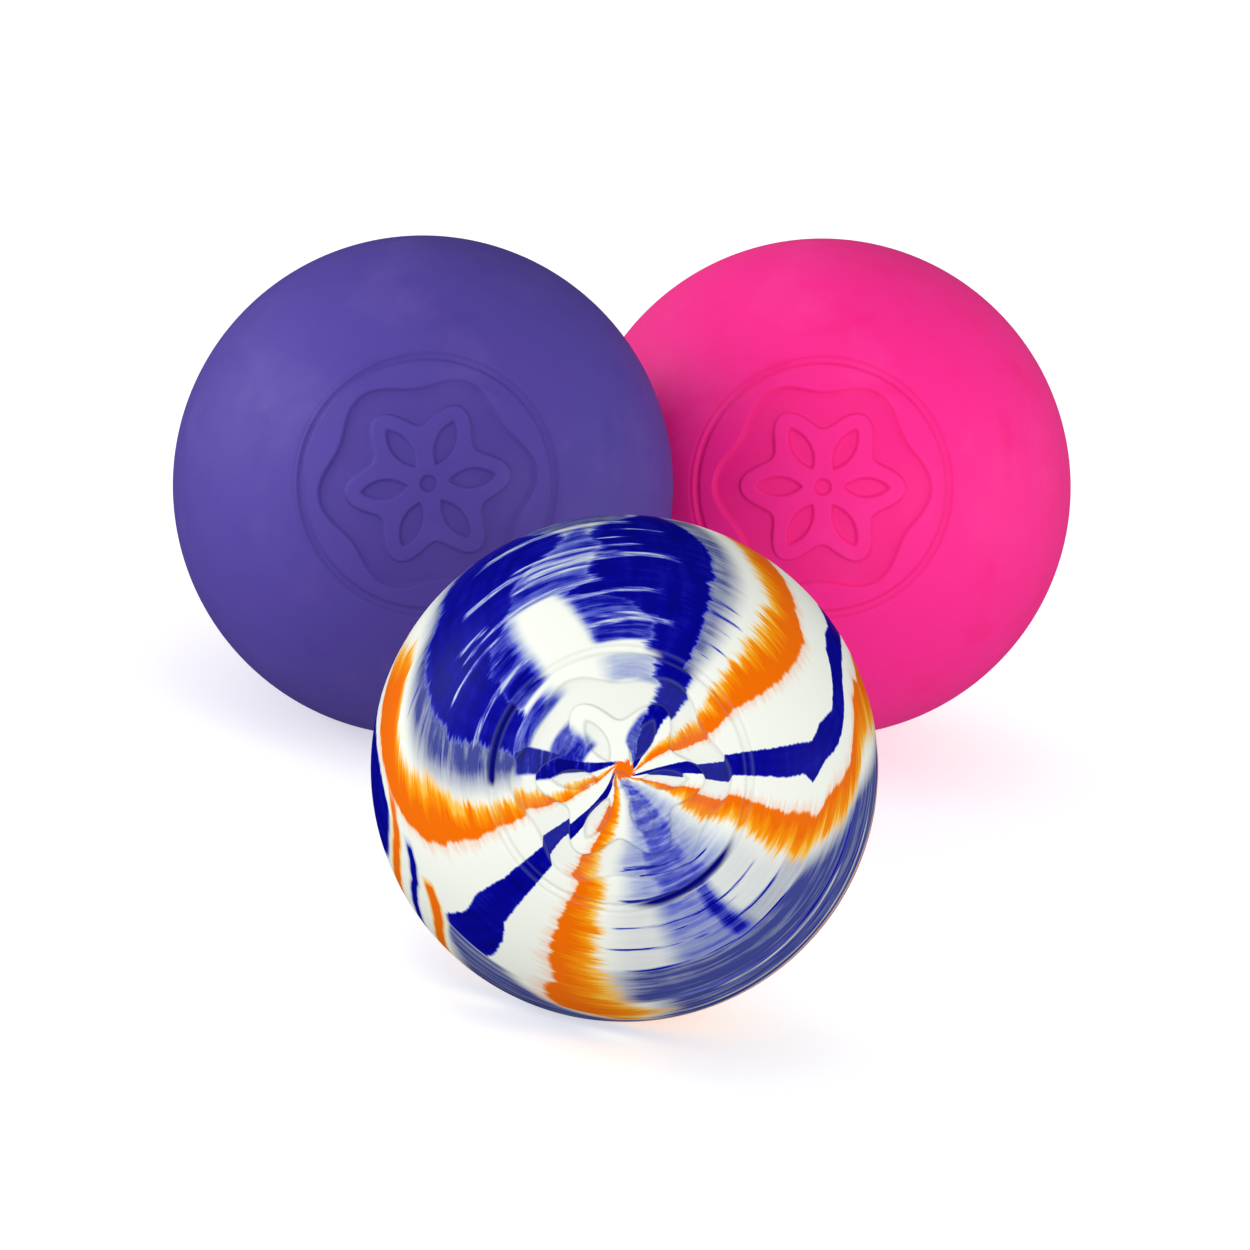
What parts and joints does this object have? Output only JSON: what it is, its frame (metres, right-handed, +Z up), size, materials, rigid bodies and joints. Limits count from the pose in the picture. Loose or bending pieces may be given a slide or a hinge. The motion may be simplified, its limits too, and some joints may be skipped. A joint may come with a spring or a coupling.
{
  "type": "massage ball set",
  "caption": "Solid rubber balls for trigger-point massage and grip exercise, two plain coloured and one marbled, each with a ring groove around a moulded rosette",
  "frame": {"origin": "on the floor, under the middle of the set's bounding box, with all three balls resting on the floor", "axes": "+Z up. +X to the right as seen from the front and +Y away from the viewer. The stamped rosettes face -Y, tilted up by about 16 degrees. The set is longest along Y."},
  "size_m": [0.113, 0.2088, 0.0635],
  "materials": {
    "purple_rubber": "matte, through-coloured, faintly mottled",
    "pink_rubber": "matte, through-coloured, faintly mottled",
    "marbled_rubber": "satin, deep blue, orange and ivory rubber swirled together"
  },
  "bodies": {
    "purple": {"purple_ball": "purple_rubber"},
    "pink": {"pink_ball": "pink_rubber"},
    "marbled": {"marbled_ball": "marbled_rubber"}
  },
  "joints": [
    {"name": "pink_ball_roll", "type": "hinge", "parent": "purple", "child": "pink", "pos_m": [0.0248, 0.07263, 0.03175], "axis": [1, 0, 0], "continuous": true},
    {"name": "marbled_ball_roll", "type": "hinge", "parent": "purple", "child": "marbled", "pos_m": [0.0081, -0.07263, 0.03175], "axis": [1, 0, 0], "continuous": true}
  ]
}
